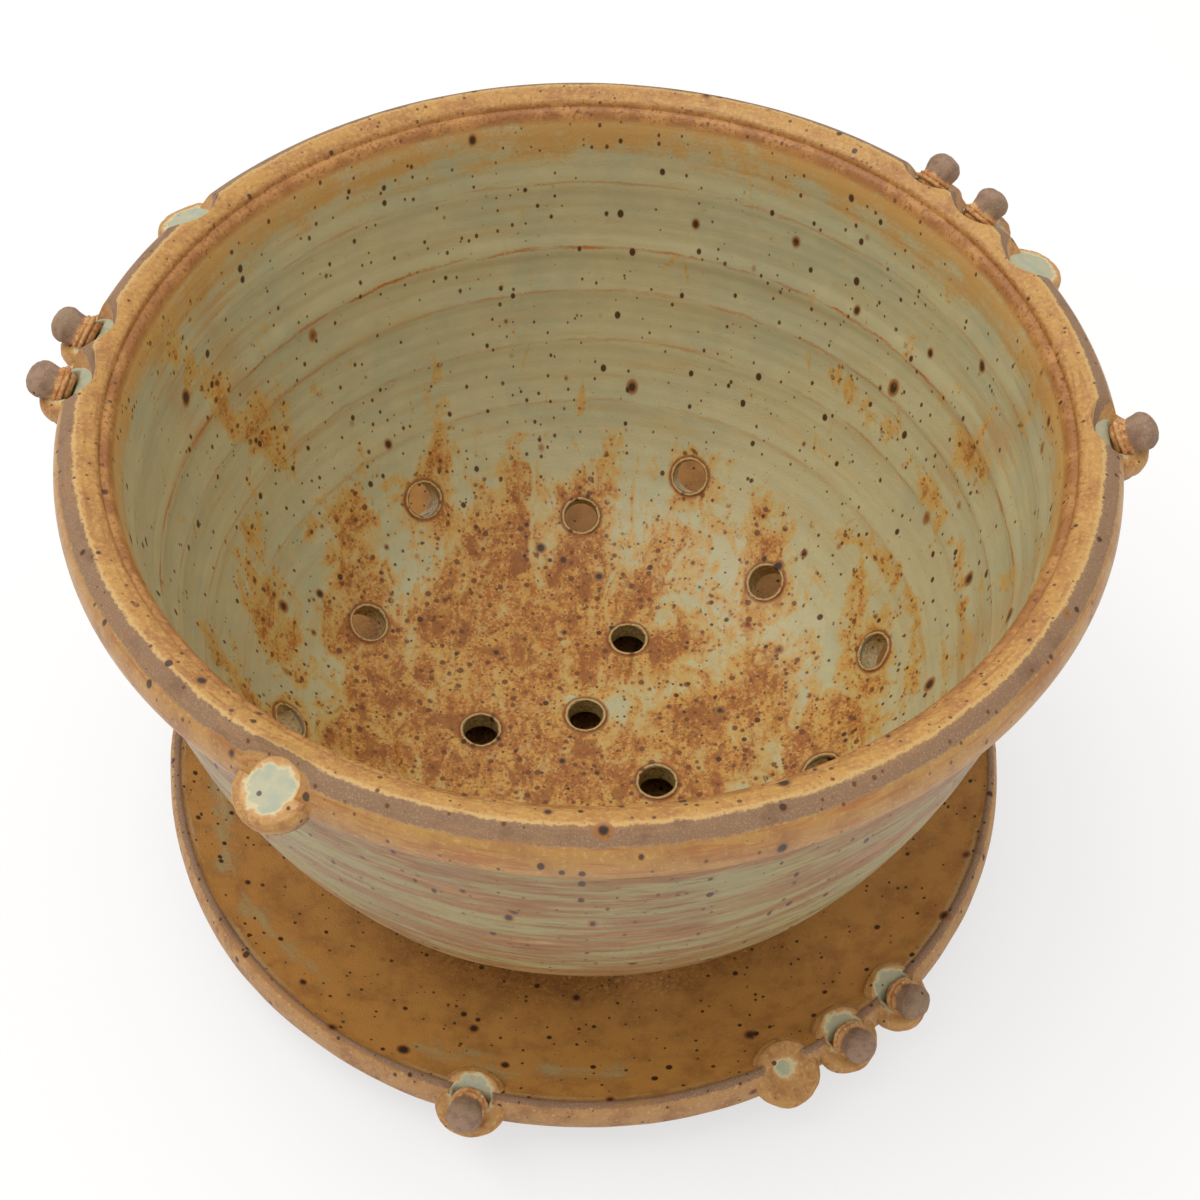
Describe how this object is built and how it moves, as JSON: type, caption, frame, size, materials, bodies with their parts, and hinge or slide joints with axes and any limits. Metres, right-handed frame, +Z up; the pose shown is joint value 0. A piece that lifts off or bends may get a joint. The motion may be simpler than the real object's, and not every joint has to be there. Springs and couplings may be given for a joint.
{
  "type": "berry colander bowl",
  "caption": "Deep thrown stoneware colander bowl with drain holes and a raised foot, standing on a drip saucer; thumb-pressed pads and clay pegs trim both rims.",
  "frame": {"origin": "centre of the saucer's flat base, on the surface that it stands on", "axes": "+Z up along the axis of both thrown pieces; -Y is the front, the side towards the viewer; +X to the viewer's right"},
  "size_m": [0.2065, 0.1946, 0.1265],
  "materials": {
    "bowl_glaze": "satin green celadon glaze breaking rust over speckled stoneware",
    "saucer_glaze": "satin rust glaze with ochre edges over speckled stoneware",
    "pad_glaze": "pale celadon glaze pooled in the thumb hollow, rust at the edge",
    "bare_clay": "bare matte mauve-brown stoneware with ochre flashing on the stem"
  },
  "bodies": {
    "saucer": {"saucer": "saucer_glaze", "saucer_pad_1": "pad_glaze", "saucer_pad_2": "pad_glaze", "saucer_pad_3": "pad_glaze", "saucer_pad_4": "pad_glaze", "saucer_peg_1": "bare_clay", "saucer_peg_3": "bare_clay", "saucer_peg_4": "bare_clay"},
    "bowl": {"bowl": "bowl_glaze", "bowl_pad_1": "pad_glaze", "bowl_pad_2": "pad_glaze", "bowl_pad_3": "pad_glaze", "bowl_pad_4": "pad_glaze", "bowl_pad_5": "pad_glaze", "bowl_pad_6": "pad_glaze", "bowl_pad_7": "pad_glaze", "bowl_pad_8": "pad_glaze", "bowl_peg_2": "bare_clay", "bowl_peg_3": "bare_clay", "bowl_peg_5": "bare_clay", "bowl_peg_6": "bare_clay", "bowl_peg_8": "bare_clay"}
  },
  "joints": [
    {"name": "bowl_lift", "type": "slide", "parent": "saucer", "child": "bowl", "axis": [0, 0, 1], "range_m": [0, 0.15]}
  ]
}
